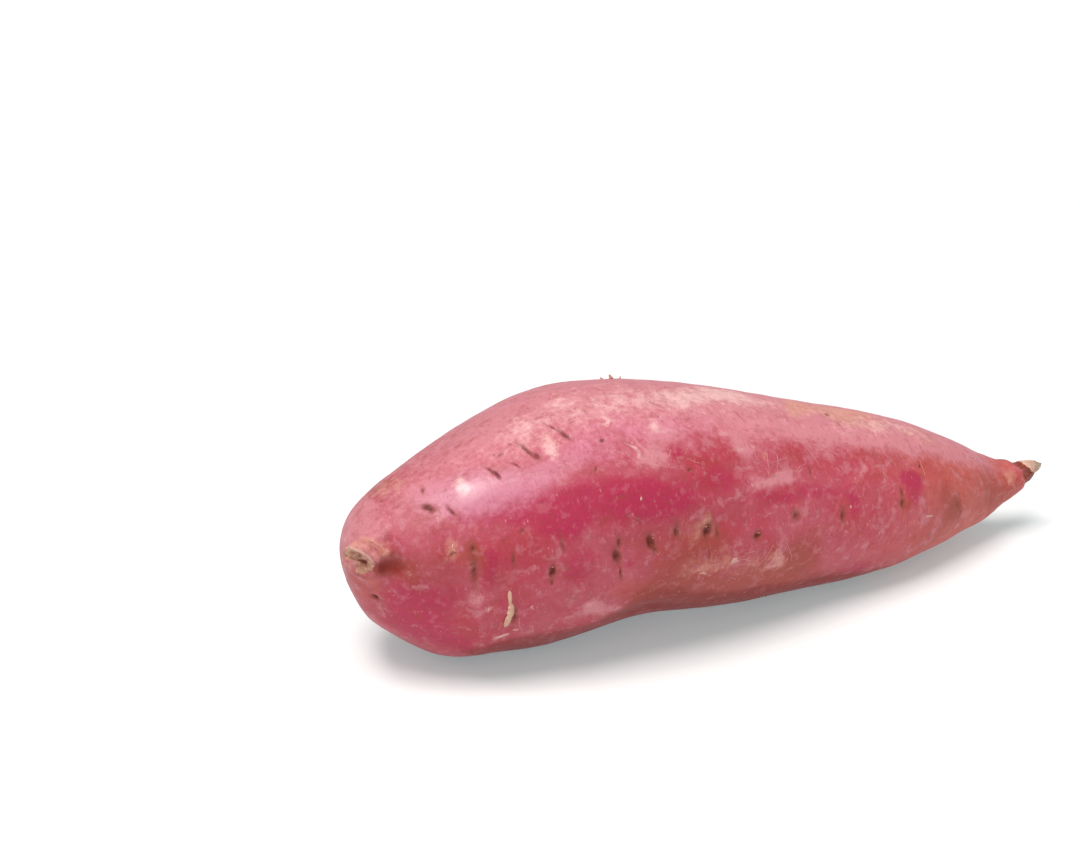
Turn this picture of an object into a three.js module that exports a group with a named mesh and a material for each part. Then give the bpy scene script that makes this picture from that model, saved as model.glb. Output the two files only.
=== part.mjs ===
// A sweet potato: one storage root, lying on its side on a table.
//
// The root runs along X. At the -X end is the stub where the vine was cut off,
// and at the +X end the root dries to a short hard point. +Z is up, the table
// is the plane z = 0, and -Y is the side that faces a viewer at the table.
// All sizes are in millimetres and all angles in degrees.

import * as THREE from "three";

// Driving dimensions.
const LENGTH = 193; // from the blunt end to the dried point
const WIDTH = 61; // thickest, across the table
const HEIGHT = 60; // thickest, up from the table
const RESTING_CUT = 1; // how far the skin is pressed flat where it rests
const RINGS = 72; // rings of vertices along the root
const SPOKES = 48; // vertices in a ring

// Sections along the root, from the stub to the point. at is a share of LENGTH,
// wide and high are shares of WIDTH and HEIGHT, and out and up are where the
// middle of the section stands: away from the viewer and above the table. The
// stub stands to the viewer's side of the blunt end, so the first few bend.
const SECTIONS = [
  { at: 0.016, wide: 0.0, high: 0.0, out: -12.3, up: 37 },
  { at: 0.018, wide: 0.15, high: 0.13, out: -12, up: 36.9 },
  { at: 0.028, wide: 0.17, high: 0.15, out: -10.6, up: 36 },
  { at: 0.036, wide: 0.28, high: 0.27, out: -9.5, up: 34.9 },
  { at: 0.06, wide: 0.5, high: 0.5, out: -6.9, up: 31.8 },
  { at: 0.1, wide: 0.69, high: 0.7, out: -3.4, up: 29.5 },
  { at: 0.17, wide: 0.86, high: 0.85, out: -0.7, up: 30.1 },
  { at: 0.27, wide: 0.98, high: 0.99, out: 0, up: 32.2 },
  { at: 0.37, wide: 1.0, high: 0.99, out: 0, up: 33 },
  { at: 0.475, wide: 0.94, high: 0.91, out: 0.5, up: 31 },
  { at: 0.585, wide: 0.84, high: 0.81, out: 1, up: 27.2 },
  { at: 0.69, wide: 0.73, high: 0.7, out: 1, up: 24 },
  { at: 0.79, wide: 0.56, high: 0.55, out: 1, up: 21.8 },
  { at: 0.87, wide: 0.34, high: 0.35, out: 0, up: 19.8 },
  { at: 0.918, wide: 0.17, high: 0.19, out: -0.6, up: 18.1 },
  { at: 0.953, wide: 0.13, high: 0.135, out: -1, up: 18.2 },
  { at: 0.973, wide: 0.08, high: 0.095, out: -1, up: 18.8 },
  { at: 1.0, wide: 0.0, high: 0.0, out: -1, up: 20 },
];

// Swellings and hollows of the skin. at is a share of LENGTH, around is the
// angle up from the side that faces the viewer, long and broad are the reach
// along and around the root, and rise is the height where the root is thickest,
// below zero in a hollow.
const SWELLINGS = [
  { at: 0.08, around: -50, long: 12, broad: 22, rise: 1.4 },
  { at: 0.24, around: 105, long: 18, broad: 24, rise: 1.2 },
  { at: 0.17, around: 58, long: 9, broad: 10, rise: 0.8 },
  { at: 0.36, around: -66, long: 18, broad: 22, rise: -2.6 },
];

const spine = new THREE.CatmullRomCurve3(
  SECTIONS.map(({ at, out, up }) => new THREE.Vector3(at * LENGTH, out, up)),
);
const girth = new THREE.CatmullRomCurve3(
  SECTIONS.map(
    ({ at, wide, high }) =>
      new THREE.Vector3(at * LENGTH, (wide * WIDTH) / 2, (high * HEIGHT) / 2),
  ),
);

// How far the skin stands out of its plain oval section at one place. It fades
// with the root's radius, so that the thin ends stay round.
function swellingAt(x, angle, radius) {
  let rise = 0;
  for (const swelling of SWELLINGS) {
    const turn = angle - THREE.MathUtils.degToRad(swelling.around);
    const across = (Math.atan2(Math.sin(turn), Math.cos(turn)) * radius) / swelling.broad;
    const along = (x - swelling.at * LENGTH) / swelling.long;
    rise += swelling.rise * Math.exp(-(across ** 2 + along ** 2));
  }
  return (rise * radius) / (WIDTH / 2);
}

// The vertices of the ring at share t of the sections. It is upright, and seen
// from above it is square to the spine.
function ringAt(t) {
  const middle = spine.getPoint(t);
  const half = girth.getPoint(t);
  const aside = new THREE.Vector3(0, 0, 1).cross(spine.getTangent(t)).normalize();
  const ring = [];
  for (let spoke = 0; spoke < SPOKES; spoke++) {
    const angle = (2 * Math.PI * spoke) / SPOKES;
    const rise = swellingAt(half.x, angle, (half.y + half.z) / 2);
    const vertex = middle.clone();
    vertex.addScaledVector(aside, -Math.cos(angle) * (half.y + rise));
    vertex.z += Math.sin(angle) * (half.z + rise);
    ring.push(vertex);
  }
  return ring;
}

// The closed skin: a pole at each end, and rings between them.
function rootGeometry() {
  const points = [spine.getPoint(0)];
  for (let ring = 1; ring < RINGS; ring++) points.push(...ringAt(ring / RINGS));
  points.push(spine.getPoint(1));
  const lastPole = points.length - 1;
  const faces = [];
  for (let spoke = 0; spoke < SPOKES; spoke++) {
    const next = (spoke + 1) % SPOKES;
    faces.push(0, 1 + spoke, 1 + next);
    for (let ring = 0; ring < RINGS - 2; ring++) {
      const a = 1 + ring * SPOKES;
      const b = a + SPOKES;
      faces.push(a + spoke, b + next, a + next, a + spoke, b + spoke, b + next);
    }
    const last = lastPole - SPOKES;
    faces.push(lastPole, last + next, last + spoke);
  }
  const geometry = new THREE.BufferGeometry().setFromPoints(points);
  geometry.setIndex(faces);
  return geometry;
}

// Presses the skin flat on the table where it rests, and puts the origin under
// the middle of the root's box.
function rest(geometry) {
  geometry.computeBoundingBox();
  geometry.translate(0, 0, -geometry.boundingBox.min.z - RESTING_CUT);
  const position = geometry.getAttribute("position");
  for (let i = 0; i < position.count; i++) {
    position.setZ(i, Math.max(position.getZ(i), 0));
  }
  geometry.computeBoundingBox();
  const middle = geometry.boundingBox.getCenter(new THREE.Vector3());
  geometry.translate(-middle.x, -middle.y, 0);
  geometry.computeVertexNormals();
  return geometry;
}

const skin = new THREE.MeshStandardMaterial({
  name: "pink_skin",
  color: 0xbf5f72,
  roughness: 0.5,
  metalness: 0,
});

const root = new THREE.Mesh(rest(rootGeometry()), skin);
root.name = "sweet_potato";

const model = new THREE.Group();
model.name = "sweet_potato_model";
model.add(root);

export default model;
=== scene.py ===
import math
import random

import bmesh
import bpy
import numpy as np
from mathutils import Matrix, Vector, noise
from mathutils.bvhtree import BVHTree


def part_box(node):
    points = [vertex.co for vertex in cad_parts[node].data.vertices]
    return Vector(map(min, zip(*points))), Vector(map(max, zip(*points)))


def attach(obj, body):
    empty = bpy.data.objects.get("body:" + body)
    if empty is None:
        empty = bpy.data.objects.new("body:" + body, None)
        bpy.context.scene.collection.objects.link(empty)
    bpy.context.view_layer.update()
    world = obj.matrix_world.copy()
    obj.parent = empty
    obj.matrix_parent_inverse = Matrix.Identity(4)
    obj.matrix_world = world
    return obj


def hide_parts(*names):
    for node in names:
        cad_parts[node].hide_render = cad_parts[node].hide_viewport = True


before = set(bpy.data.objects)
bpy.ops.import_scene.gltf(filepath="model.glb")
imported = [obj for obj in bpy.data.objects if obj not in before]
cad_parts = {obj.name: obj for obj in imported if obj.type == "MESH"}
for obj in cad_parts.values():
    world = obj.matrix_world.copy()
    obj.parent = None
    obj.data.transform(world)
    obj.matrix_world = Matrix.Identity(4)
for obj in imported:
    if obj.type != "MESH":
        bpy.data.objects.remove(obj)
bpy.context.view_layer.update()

low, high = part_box("sweet_potato")
middle = Vector(((low.x + high.x) / 2, (low.y + high.y) / 2, 0))
mm = 0.001
scene = bpy.context.scene
noise.seed_set(3)  # the fibres bend the same way each time

# where the viewer stands, in degrees and millimetres
view = {
    "lens": 70,
    "turn": -24,
    "tilt": 24,
    "distance": 507,
    "aim": 27,  # height of the aim point above the table
    "aside": -42.25,  # the camera slides this far to the right
    "above": 14.4,  # and this far up
}


def placeCamera(view):
    turn, tilt = math.radians(view["turn"]), math.radians(view["tilt"])
    back = Vector((math.sin(turn) * math.cos(tilt), -math.cos(turn) * math.cos(tilt), math.sin(tilt)))
    right = Vector((math.cos(turn), math.sin(turn), 0))
    camera = bpy.data.objects.new("camera", bpy.data.cameras.new("camera"))
    camera.data.lens = view["lens"]
    camera.data.sensor_width = 36
    camera.data.clip_start = 0.01
    camera.location = middle + Vector((0, 0, view["aim"] * mm)) + back * view["distance"] * mm
    camera.location += (right * view["aside"] + back.cross(right) * view["above"]) * mm
    camera.rotation_euler = (-back).to_track_quat("-Z", "Y").to_euler()
    scene.collection.objects.link(camera)
    scene.camera = camera


placeCamera(view)
print("camera placed")

# two soft lamps high on the left, one for the light and one for the gleam, and a weak one in front
studio = {
    "room": (1.0, 1.0, 1.0),
    "roomStrength": 0.33,
    "floor": (0.78, 0.72, 0.716),
    "floorShade": (0.76, 0.70, 0.696),
    "floorGlow": (0.16, 0.25, 0.25),  # painted light: the floor glows a little, which lightens the root's shadow and takes the pink out of it
    "farGlow": (0.60, 0.60, 0.60),  # and more where the lamps don't reach
    "glowChange": (0.25, 1.0),  # from one to the other over this stretch, in metres from the root
    "floorSize": 6.0,
    "lamps": [
        # name, place in metres, size in metres, watts, colour
        ("gleam_lamp", (-0.73, 0.20, 2.13), 0.60, 12.0, (1.0, 0.99, 0.975)),
        ("top_lamp", (-0.62, -0.45, 2.10), 1.10, 35.0, (1.0, 0.99, 0.975)),
        ("front_lamp", (-0.95, -1.5, 1.35), 1.50, 7.0, (1.0, 0.985, 0.97)),
    ],
}


class Shade:  # a value in a material, so that its maths reads as plain sums
    def __init__(self, finish, socket):
        self.finish, self.socket = finish, socket

    def __add__(self, other):
        return self.finish.maths("ADD", self, other)

    def __sub__(self, other):
        return self.finish.maths("SUBTRACT", self, other)

    def __rsub__(self, other):
        return self.finish.maths("SUBTRACT", other, self)

    def __mul__(self, other):
        return self.finish.maths("MULTIPLY", self, other)

    __radd__, __rmul__ = __add__, __mul__


class Nodes:  # a tree of nodes, added one call each
    def add(self, kind, settings=None, values=None, output=0):
        node = self.tree.nodes.new(kind)
        for name, value in (settings or {}).items():
            setattr(node, name, value)
        for name, value in (values or {}).items():
            if isinstance(value, Shade):
                self.tree.links.new(value.socket, node.inputs[name])
            else:
                node.inputs[name].default_value = value
        return Shade(self, node.outputs[output])

    def maths(self, operation, *terms):
        return self.add("ShaderNodeMath", {"operation": operation}, dict(enumerate(terms)))

    def vectors(self, operation, *terms):
        return self.add("ShaderNodeVectorMath", {"operation": operation}, dict(enumerate(terms)))


class Finish(Nodes):  # one material
    def __init__(self, name):
        self.material = bpy.data.materials.new(name)
        self.material.use_nodes = True
        self.tree = self.material.node_tree
        self.tree.nodes.clear()
        self.place = self.add("ShaderNodeTexCoord", output="Object")

    def attribute(self, name):
        return self.add("ShaderNodeAttribute", {"attribute_name": name}, output="Fac")

    def between(self, value, start, end):  # 0 before start, 1 after end
        values = {"Value": value, "From Min": start, "From Max": end}
        return self.add("ShaderNodeMapRange", {"interpolation_type": "SMOOTHSTEP"}, values)

    def moved(self, stretch, shift):
        values = {"Vector": self.place, "Scale": stretch, "Location": (shift, shift, shift)}
        return self.add("ShaderNodeMapping", None, values)

    def grain(self, size, detail=2, rough=0.5, stretch=(1, 1, 1), shift=0.0, warp=0.0):  # size in mm
        values = {"Vector": self.moved(stretch, shift), "Scale": 1 / mm / size, "Detail": detail}
        values.update(Roughness=rough, Distortion=warp)
        return self.add("ShaderNodeTexNoise", None, values, output="Fac")

    def cells(self, size, stretch, shift):
        values = {"Vector": self.moved(stretch, shift), "Scale": 1 / mm / size}
        return self.add("ShaderNodeTexVoronoi", None, values, output="Distance")

    def blend(self, factor, first, second, way="MIX"):  # colours
        first = (*first, 1) if isinstance(first, tuple) else first
        second = (*second, 1) if isinstance(second, tuple) else second
        settings = {"data_type": "RGBA", "blend_type": way}
        return self.add("ShaderNodeMix", settings, {0: factor, 6: first, 7: second}, output=2)

    def shaded(self, colour, amount):  # a colour made lighter or darker
        grey = self.add("ShaderNodeCombineColor", None, {0: amount, 1: amount, 2: amount})
        return self.blend(1.0, colour, grey, "MULTIPLY")

    def close(self, colour, roughness, height=None, constants=None):  # height in millimetres
        colour = (*colour, 1) if isinstance(colour, tuple) else colour
        values = {"Base Color": colour, "Roughness": roughness}
        if height is not None:
            values["Normal"] = self.add("ShaderNodeBump", None, {"Height": height, "Distance": mm})
        surface = self.add("ShaderNodeBsdfPrincipled", None, {**values, **(constants or {})})
        output = self.tree.nodes.new("ShaderNodeOutputMaterial")
        self.tree.links.new(surface.socket, output.inputs["Surface"])
        return self.material


class Growth(Nodes):  # a Geometry Nodes tree that puts something on every spot of a piece
    inputs = {"Geometry": "Geometry", "Material": "Material"}
    inputs.update(dict.fromkeys(("Wobble", "Grain", "Seed"), "Float"))

    def __init__(self, name, **more):
        self.tree = bpy.data.node_groups.new(name, "GeometryNodeTree")
        self.names = {}
        for label, kind in {**self.inputs, **more}.items():
            socket = self.tree.interface.new_socket(label, in_out="INPUT", socket_type=f"NodeSocket{kind}")
            self.names[label] = socket.identifier
        self.tree.interface.new_socket("Geometry", in_out="OUTPUT", socket_type="NodeSocketGeometry")
        self.entry = self.tree.nodes.new("NodeGroupInput")

    def given(self, label):
        return Shade(self, self.entry.outputs[label])

    def named(self, name):  # a direction or size kept with the spots
        return self.add("GeometryNodeInputNamedAttribute", {"data_type": "FLOAT_VECTOR"}, {"Name": name})

    def placed(self, shape):  # one on every spot, turned and sized as the spot says
        values = {"Points": self.given("Geometry"), "Instance": shape}
        values.update(Rotation=self.named("turn"), Scale=self.named("size"))
        shape = self.add("GeometryNodeInstanceOnPoints", None, values)
        return self.add("GeometryNodeRealizeInstances", None, {"Geometry": shape})

    def wobble(self, shape):  # bent a little, each one differently
        values = {"Vector": self.add("GeometryNodeInputPosition"), "W": self.given("Seed"), "Detail": 2.0}
        values["Scale"] = self.given("Grain")
        noisy = self.add("ShaderNodeTexNoise", {"noise_dimensions": "4D"}, values, output="Color")
        values = {0: self.vectors("SUBTRACT", noisy, (0.5, 0.5, 0.5)), "Scale": self.given("Wobble")}
        push = self.add("ShaderNodeVectorMath", {"operation": "SCALE"}, values)
        return self.add("GeometryNodeSetPosition", None, {"Geometry": shape, "Offset": push})

    def end(self, shape):
        shape = self.add("GeometryNodeRealizeInstances", None, {"Geometry": shape})
        shape = self.add("GeometryNodeSetShadeSmooth", None, {"Geometry": shape})
        values = {"Geometry": shape, "Material": self.given("Material")}
        shape = self.add("GeometryNodeSetMaterial", None, values)
        output = self.tree.nodes.new("NodeGroupOutput")
        self.tree.links.new(shape.socket, output.inputs["Geometry"])

    def on(self, name, spots, values):  # spots: place in metres, turn, size in metres
        data = bpy.data.meshes.new(name)
        data.from_pydata([place for place, _, _ in spots], [], [])
        for number, label in enumerate(("turn", "size"), 1):
            kept = data.attributes.new(label, "FLOAT_VECTOR", "POINT")
            kept.data.foreach_set("vector", [part for spot in spots for part in spot[number]])
        piece = linked(bpy.data.objects.new(name, data))
        modifier = piece.modifiers.new("growth", "NODES")
        modifier.node_group = self.tree
        for label, value in values.items():
            modifier[self.names[label]] = value
        return settled(piece)


# the skin of the root, in millimetres and degrees: along from the stub end, around up from the near side
skin = {
    "rounding": 2,  # subdivisions of the whole skin
    "closeRounds": (2.6, 1.5),  # more subdivisions close to the marks, each out to this many half sizes
    "lumps": [(28, 0.35), (10, 0.14), (3.5, 0.04)],  # size and height of the unevenness
    "hiddenMarks": {"eyes": 26, "slits": 8},  # how many more on the sides that are turned away
    "hiddenPatches": {"dusty": 9, "deep": 12, "brown": 9, "salmon": 6, "corky": 5, "chalky": 9},
    # along, around, long, wide, lean of the long side, depth, darkness
    "eyes": [
        (6.3, -31, 1.8, 0.8, 10, 0.4, 0.6), (18.2, 57.5, 2.2, 1.2, -50, 0.6, 0.85),
        (24.2, 14, 6.5, 1.3, 88, 0.5, 0.35), (24.6, 27, 2.2, 0.9, 95, 0.3, 0.4),
        (20.3, 26.5, 1, 0.6, 40, 0.2, 0.35), (32.5, 16, 4, 0.9, 90, 0.2, 0.15),
        (35.2, 28.5, 1.2, 0.9, 60, 0.2, 0.4), (32.4, -15, 5.5, 1.2, 86, 0.25, 0.25),
        (40.5, 5.5, 2.4, 1.3, 80, 0.8, 0.9), (40.3, 0.5, 1.8, 0.7, 85, 0.2, 0.4),
        (43.2, 17, 4.2, 0.7, 95, 0.15, 0.25), (55.4, 4.5, 2.8, 1.4, 105, 0.8, 0.85),
        (56, 10.5, 2.4, 0.9, 88, 0.4, 0.55), (56.2, -3.5, 3, 0.5, 98, 0.3, 0.5),
        (63.8, 7, 2.6, 1.25, 105, 0.9, 0.95), (64.6, 3.4, 1.6, 0.8, 110, 0.3, 0.6),
        (70.5, 9.5, 2.4, 1.2, 88, 0.5, 0.65), (78.7, 8, 2.4, 1.7, 60, 1.1, 1),
        (81, 7, 3.2, 1.2, 95, 0.3, 0.25), (78.4, -2.5, 4.2, 0.4, 92, 0.2, 0.35),
        (92, 3.6, 1.6, 1.4, 170, 0.7, 0.95), (103.8, 11.6, 2.4, 1.9, 120, 0.5, 0.5),
        (118.2, 8.8, 3.2, 1.5, 84, 0.5, 0.45), (137.3, 13, 2.6, 1.7, 80, 0.5, 0.5),
        (137.6, 20.5, 2.2, 0.9, 95, 0.3, 0.4), (156.8, 2, 4.2, 2.4, 100, 0.25, 0),
        (57.8, 56.3, 1, 0.8, 30, 0.2, 0.55), (53.9, 43.9, 1.2, 0.6, 60, 0.2, 0.45),
        (58.7, 21.5, 1, 0.5, 80, 0.15, 0.5), (61, 18, 1.8, 0.5, 120, 0.15, 0.4),
        (75.8, 35.5, 0.9, 0.7, 0, 0.2, 0.6), (110.2, 34, 2.6, 0.6, 95, 0.2, 0.35),
        (145.5, 39, 1.4, 0.7, 40, 0.2, 0.4), (18.5, 71, 2, 0.8, 80, 0.2, 0.3),
        (22.2, 49.5, 3.2, 0.6, -65, 0.2, 0.45), (35.8, 68.8, 1.6, 1, 20, 0.15, 0.3),
        (125, 81, 1.8, 1.1, 60, 0.2, 0.3),
    ],
    "slits": [
        (32.6, 62, 5.8, 0.5, -66, 0.35, 0.7), (33.4, 58.6, 3, 0.65, -64, 0.4, 0.85),
        (37.8, 59.4, 3.6, 0.4, -62, 0.25, 0.6), (41.3, 64.5, 6.8, 0.7, -64, 0.5, 0.85),
        (42.8, 59.6, 2.2, 0.75, -50, 0.4, 0.85), (41, 67.5, 2.4, 0.5, -80, 0.3, 0.6),
        (48.6, 70.5, 5.6, 0.45, -66, 0.3, 0.6), (50.4, 64.6, 4.4, 0.8, -62, 0.5, 0.85),
        (53, 69.6, 2.6, 0.4, 20, 0.2, 0.35), (75.2, 71.8, 4.3, 0.6, -42, 0.25, 0.4),
        (96.1, 67.6, 3.6, 0.6, -62, 0.3, 0.45), (64.2, 48.5, 5.2, 0.4, -62, 0.2, 0.3),
    ],
    "creases": [  # along, around, long, wide, lean, depth
        (46, 90.5, 8, 1.6, -38, 0.25), (52.5, 84.5, 8, 1.5, -14, 0.2),
        (30, 84, 9, 2, -70, 0.2), (9, 22, 9, 4.5, 0, 0.6),
        (166, 20, 9, 1.4, 90, 0.25), (170.5, 5, 9, 1.2, 90, 0.2),
        (174.5, 30, 7, 1, 90, 0.2), (74, 9, 44, 7, -2, 0.55),
        (67, -37, 18, 9, -20, 1.3), (120, 12, 40, 6, 0, 0.25),
        (54, -46, 46, 20, 0, 1.3),
    ],
    "swells": [  # the same, but standing out
        (90, -9, 34, 12, -4, 0.8), (48, -22, 24, 8, -50, 0.5),
        (16, 36, 14, 8, 60, 0.3), (26, 62, 9, 8, 70, 0.55),
        (15, -48, 30, 26, 0, 0.8), (27.3, 15, 7.5, 2.8, 88, 0.45),
        (6.4, 47, 6, 3, 40, 0.5), (62, 40, 80, 12, 0, 0.45),
        (139.5, 17, 5, 3, 80, 0.25), (172, -50, 16, 10, 0, 1.6),
        (160, -46, 18, 12, 0, 0.7), (143, -30, 34, 18, 0, 1.4),
        (7.5, -73, 11, 11, 0, 1.2), (176, 98, 9, 7, 0, 1),
        (180.5, 95, 4, 6, 0, 0.6), (57, -26, 16, 3, -35, 0.3),
    ],
    # along, around, half long, half broad, lean, strength
    # pale dusty pink: dust, and on the top a painted sheen where the lamps fall
    "dusty": [
        (45, 92, 38, 20, 0, 0.9), (112, 88, 42, 13, 0, 1.1), (155, 84, 24, 9, 0, 0.7),
        (20, 63, 9, 5, -30, 0.4), (92.5, 45, 2.8, 4.5, 0, 0.6), (68, 42.5, 3.5, 2.6, 10, 0.9),
        (72.5, 54, 4, 3, 0, 0.5), (97, 29, 6.5, 1.8, 8, 0.8), (103.5, 32.5, 2.6, 2.6, 0, 0.7),
        (116, 45, 5, 2.5, 20, 0.3), (99, -3, 2.2, 4.5, 0, 0.55), (96.3, -13.5, 2.4, 3, -20, 0.55),
        (50, -18, 2.6, 3.2, 0, 0.9), (56, -25, 5, 2, -28, 0.8), (24.6, -1, 2, 2.8, 0, 0.6),
        (4, 75, 5, 14, 0, 0.6), (145, 48.5, 2.6, 1.8, 0, 0.4), (126, 35, 3, 2, 40, 0.4),
        (58, -5, 6, 4, 0, 0.3), (112, 1, 8, 5, 0, 0.25),
    ],
    "deep": [
        (50, 32, 16, 5.5, -8, 1), (67, 23, 10, 4.5, -5, 1), (44, 24, 5, 4, 0, 0.6),
        (46, 3, 6, 4, 0, 0.7), (27.2, 15, 1.9, 4.5, 0, 1), (83, 31, 6, 3, 0, 0.7),
        (73.5, 43.5, 2.2, 2, 0, 1), (97, 22, 7, 2, 0, 0.7), (112, 22, 9, 2.6, 0, 0.7),
        (122, 14, 2.4, 4, -10, 0.8), (141.5, 17, 4.4, 4.2, 0, 0.6), (141, 31, 4, 2.6, 0, 0.9),
        (92, 68, 3.6, 4, 0, 0.6), (126, 54, 5, 2.6, 0, 0.5), (24, 45.5, 3, 1.6, 0, 0.7),
        (28, 96, 2.2, 7, 0, 0.5), (9.5, 82, 2, 7, 0, 0.6), (12, -25, 7, 12, 0, 0.7),
        (17, -2, 6, 7, 0, 0.5), (10, 40, 3, 6, 0, 0.4), (22, -38, 9, 5, 0, 0.6),
        (32, 43, 9, 3.5, -15, 0.9), (108, 100, 4, 2, 0, 0.6), (124, -32, 8, 5, 0, 0.6),
        (58.5, 1.5, 1.8, 2, 0, 0.6),
    ],
    "brown": [
        (10.5, 18, 3.4, 3, 10, 0.6), (18, 22, 9, 8, 0, 0.5), (68, -25, 10, 8, -15, 1.3),
        (80, -38, 14, 7, -10, 1.2), (98, -38, 12, 6, 0, 1.1), (88, -20, 14, 6, 0, 0.7),
        (75, 0, 14, 5, 0, 0.7), (104, -14, 10, 8, 0, 0.9), (114, -38, 9, 4, 0, 0.7),
        (62, 9, 8, 3, 0, 0.4), (76, 12, 6, 5, 0, 0.45), (36, 22, 4, 3, 0, 0.4),
        (30, 8, 4, 3, 0, 0.5), (120, 5, 8, 4, 0, 0.4), (88, 36, 7, 2.4, 0, 0.5),
        (147, -20, 12, 6, 0, 0.5), (24.8, 24, 1.8, 4, 0, 0.7), (152, 12, 5, 7, 0, 0.5),
        (157, 1, 3.4, 3.4, 0, 0.8), (170, 8, 6, 12, 0, 0.6), (79, 39, 3, 1.6, 0, 0.5),
        (105.5, 44, 7, 2.6, 0, 0.5), (131, 48, 4, 3, 0, 0.6), (137.8, 12, 2.4, 3, 0, 0.6),
        (12, 103, 5, 6, 0, 0.8), (8, 36, 2.5, 5, 0, 0.5), (179, -5, 6, 7, 0, 0.55),
    ],
    # a lilac tint with painted sheen round the highlight and along the lit upper shoulder
    "lilac": [
        (24, 58, 10, 7, -20, 0.75), (33, 50, 10, 5, -20, 0.5), (42, 50, 12, 5, 0, 0.55),
        (58, 53, 14, 5, 0, 0.5), (76, 56, 10, 5, 0, 0.4), (60, 66, 12, 6, 0, 0.4),
        (86, 63, 9, 5, 0, 0.3),
    ],
    "waxed": [
        (26.5, 62, 5, 4.6, 0, 1),
    ],
    "salmon": [
        (4, -20, 5, 14, 0, 0.7), (16, 92, 9, 10, 0, 0.4), (22, 26, 3, 4, 0, 0.5),
        (58, -12, 8, 4, 0, 0.5), (174, 40, 12, 40, 0, 1.3),
    ],
    # dark red-brown: stains, and painted shade in the waist hollow and low down
    "soot": [
        (69, -30, 10, 7, -15, 1.35), (84, -40, 10, 4, -10, 1.15), (99, -40, 9, 3.5, 0, 1.15),
        (114, -42, 8, 3, 0, 0.6), (30, -46, 12, 4, 0, 0.5),
    ],
    "corky": [
        (116, 86, 3.6, 8, -30, 0.8), (128, 84, 9, 5.5, 0, 0.9), (135, 92, 12, 4, 0, 0.5),
        (14, 92, 6, 7, 0, 0.6), (97.5, 41.5, 1.6, 2.4, 0, 0.6), (86, -8, 12, 5, 0, 0.44),
        (75, 11, 5, 4, 0, 0.18), (98, -20, 8, 6, 0, 0.38), (74, -9, 8, 4, 0, 0.42),
        (98.5, -4, 2, 4, 0, 0.3), (78.4, 12, 2, 2.4, 0, 0.6), (52, -26, 9, 4, -30, 0.4),
        (150, 70, 16, 6, 0, 0.5), (181, 10, 4, 14, 0, 0.3), (20.6, 30, 2.2, 3, 0, 0.8),
        (44, 66, 9, 5, 0, 0.45), (75, 9, 8, 3.4, 0, 0.4), (178.8, 38, 1.5, 2.2, 0, 0.5),
    ],
    # pale scuffs; the patch at 26.2, 61 on the shoulder is a painted highlight
    "chalky": [
        (26.2, 61, 2.4, 3.4, -10, 0.7), (46.5, 58, 2.2, 3, 0, 0.5), (84.5, 79, 9, 4, 20, 0.35),
        (99, 92, 9, 6, 10, 0.5), (19, 50.5, 4, 1.1, -60, 0.5), (63.8, 48.5, 4.5, 0.5, -62, 0.7),
        (71, 57, 2, 2, 0, 0.5), (85, -7.5, 1.3, 0.8, 30, 1.2), (26.8, -8, 1.4, 1.4, 0, 0.8),
        (78, -14, 5.5, 0.5, -16, 0.6), (36.6, -11, 0.8, 0.9, 0, 0.7), (30.8, -30.5, 1.7, 0.9, 10, 1),
        (32.9, -25, 1.3, 0.8, 0, 0.9), (29.5, -34, 1.2, 0.6, 0, 0.7), (49.5, -16.5, 1.8, 1.8, 0, 0.4),
        (98.5, -2, 1.3, 3.4, 0, 0.4), (134, -41, 1, 3, 0, 0.7), (60.2, 63.5, 0.6, 0.6, 0, 0.9),
    ],
    # slow changes over the whole root
    # painted light and shade: the skin made lighter or darker along the root, where the lamps give it more
    # or less light
    "light": ((0, 30, 70, 110, 150, 190), (-0.08, -0.08, -0.02, 0.06, 0.07, 0.02)),  # along, how light
    "smooth": (155, 169),  # the fine rings end here
    "reddening": (84, 174),  # it turns salmon over this stretch
    "stillPink": (118, 26, 15, 45, 0.5),  # but less so here: along, half long, around, half broad, how much
    "bands": [
        # kind, where it starts, is full, fades and is gone along the root, around, half broad, strength
        # the light bands are painted light and shade; the pale bands on the top add a painted sheen
        ("dusty", (50, 110, 153, 178), 76, 31, 0.75),
        ("dusty", (98, 112, 150, 162), 46, 10, -0.25),
        ("chalky", (22, 42, 147, 172), 78, 22, 0.55),
        ("light", (22, 42, 147, 172), 78, 22, 0.05),
        ("light", (12, 20, 32, 44), 74, 12, 0.07),
        ("light", (3, 10, 20, 30), -17, 12, 0.07),
        ("light", (3, 14, 82, 100), 16, 12, -0.06),
        ("light", (100, 112, 150, 162), 47, 9, -0.05),
        ("light", (106, 117, 140, 152), -31, 9, -0.11),
        ("light", (36, 46, 104, 116), 60, 8, 0.06),
        ("light", (102, 110, 150, 160), 75, 9, -0.05),
        ("chalky", (78, 92, 118, 132), 74, 9, -0.18),
    ],
    # painted shade low down on the root
    "undersideShade": (0.85, (20, 34, 130, 150), (-80, -55, -38, -26)),  # how dark low down, along, around
}


def linked(piece):
    scene.collection.objects.link(piece)
    return piece


def settled(piece):  # its modifiers become part of its mesh
    evaluated = piece.evaluated_get(bpy.context.evaluated_depsgraph_get())
    data = bpy.data.meshes.new_from_object(evaluated)
    piece.modifiers.clear()
    piece.data = data
    return piece


def pointsOf(mesh):  # in millimetres
    places = np.empty(len(mesh.vertices) * 3)
    mesh.vertices.foreach_get("co", places)
    return places.reshape(-1, 3) / mm


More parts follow.
